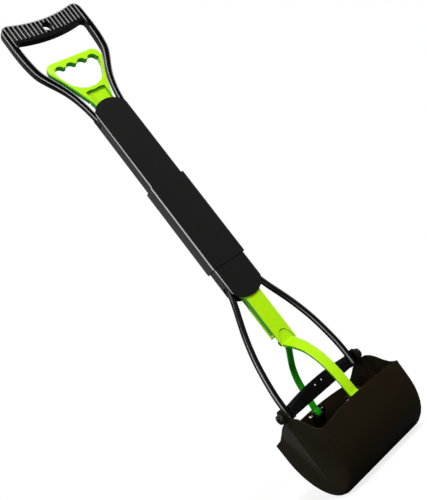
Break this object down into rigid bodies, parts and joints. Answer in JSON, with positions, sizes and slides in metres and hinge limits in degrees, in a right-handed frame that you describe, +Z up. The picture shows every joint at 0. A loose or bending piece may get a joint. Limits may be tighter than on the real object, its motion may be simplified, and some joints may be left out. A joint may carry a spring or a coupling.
{
  "type": "pooper scooper",
  "caption": "Long-handled pet-waste scooper with a ribbed D-grip, a pull ring, a folding shaft with a locking sleeve, and a sprung two-jaw bucket worked by curved links.",
  "frame": {"origin": "under the middle of the closed jaws, on the level of their lowest line", "axes": "+Z up the handle towards the grip, +Y towards the back, where the hinge is, +X to the right seen from the front"},
  "size_m": [0.1458, 0.1288, 0.7047],
  "materials": {
    "satin_black": "satin black moulded plastic, finely grained",
    "gloss_black": "smooth black moulded plastic or black coating on the rods",
    "bucket_black": "smooth brownish black moulded plastic",
    "lime_green": "smooth bright lime green moulded plastic",
    "dark_steel": "black oxide steel",
    "bright_steel": "plain bright steel"
  },
  "bodies": {
    "upper_frame": {"grip_frame": "gloss_black", "upper_front_cover": "satin_black", "upper_rear_cover": "satin_black", "top_left_screw": "dark_steel", "top_right_screw": "dark_steel", "middle_left_screw": "dark_steel", "middle_right_screw": "dark_steel", "left_fold_pin": "bright_steel", "right_fold_pin": "bright_steel"},
    "sleeve": {"locking_sleeve": "satin_black"},
    "trigger": {"trigger_ring": "lime_green", "trigger_screw": "dark_steel", "upper_pull_bar": "lime_green", "pull_bar_hinge_pin": "bright_steel"},
    "lower_frame": {"lower_front_cover": "satin_black", "lower_rear_cover": "satin_black", "lower_left_screw": "dark_steel", "lower_right_screw": "dark_steel", "left_rod": "gloss_black", "right_rod": "gloss_black", "cross_bar": "gloss_black", "left_pivot_pin": "gloss_black", "right_pivot_pin": "gloss_black", "left_jaw_spring": "dark_steel", "right_jaw_spring": "dark_steel"},
    "lower_bar": {"lower_pull_bar": "lime_green", "link_pivot_pin": "bright_steel"},
    "front_link_body": {"front_link": "lime_green", "front_link_pin": "bright_steel"},
    "rear_link_body": {"rear_link": "lime_green", "rear_link_pin": "bright_steel"},
    "front_jaw_body": {"front_jaw": "bucket_black"},
    "rear_jaw_body": {"rear_jaw": "bucket_black"}
  },
  "joints": [
    {"name": "pull_ring_slide", "type": "slide", "parent": "upper_frame", "child": "trigger", "axis": [0, 0, 1], "range_m": [0, 0.034], "stiffness_N_per_m": 250, "springref_m": -0.04},
    {"name": "fold", "type": "hinge", "parent": "upper_frame", "child": "lower_frame", "pos_m": [0, 0.0086, 0.3016], "axis": [1, 0, 0], "range_deg": [0, 150]},
    {"name": "sleeve_slide", "type": "slide", "parent": "upper_frame", "child": "sleeve", "axis": [0, 0, 1], "range_m": [0, 0.1]},
    {"name": "lower_bar_slide", "type": "slide", "parent": "lower_frame", "child": "lower_bar", "axis": [0, 0, 1], "range_m": [0, 0.034]},
    {"name": "front_link_turn", "type": "hinge", "parent": "lower_bar", "child": "front_link_body", "pos_m": [0, 0, 0.176], "axis": [1, 0, 0], "range_deg": [-4.2, 0]},
    {"name": "rear_link_turn", "type": "hinge", "parent": "lower_bar", "child": "rear_link_body", "pos_m": [0, 0, 0.176], "axis": [1, 0, 0], "range_deg": [0, 4.2]},
    {"name": "front_jaw_pivot", "type": "hinge", "parent": "lower_frame", "child": "front_jaw_body", "pos_m": [0, 0, 0.1084], "axis": [1, 0, 0], "range_deg": [-40, 0]},
    {"name": "rear_jaw_pivot", "type": "hinge", "parent": "lower_frame", "child": "rear_jaw_body", "pos_m": [0, 0, 0.1084], "axis": [1, 0, 0], "range_deg": [0, 40]}
  ],
  "couplings": [
    {"joint": "sleeve_slide", "follows": "fold", "m_per_rad": 0.038197},
    {"joint": "lower_bar_slide", "follows": "pull_ring_slide", "ratio": 1},
    {"joint": "front_link_turn", "follows": "pull_ring_slide", "rad_per_m": -2.1559},
    {"joint": "rear_link_turn", "follows": "pull_ring_slide", "rad_per_m": 2.1559},
    {"joint": "front_jaw_pivot", "follows": "pull_ring_slide", "rad_per_m": -20.533},
    {"joint": "rear_jaw_pivot", "follows": "pull_ring_slide", "rad_per_m": 20.533}
  ]
}
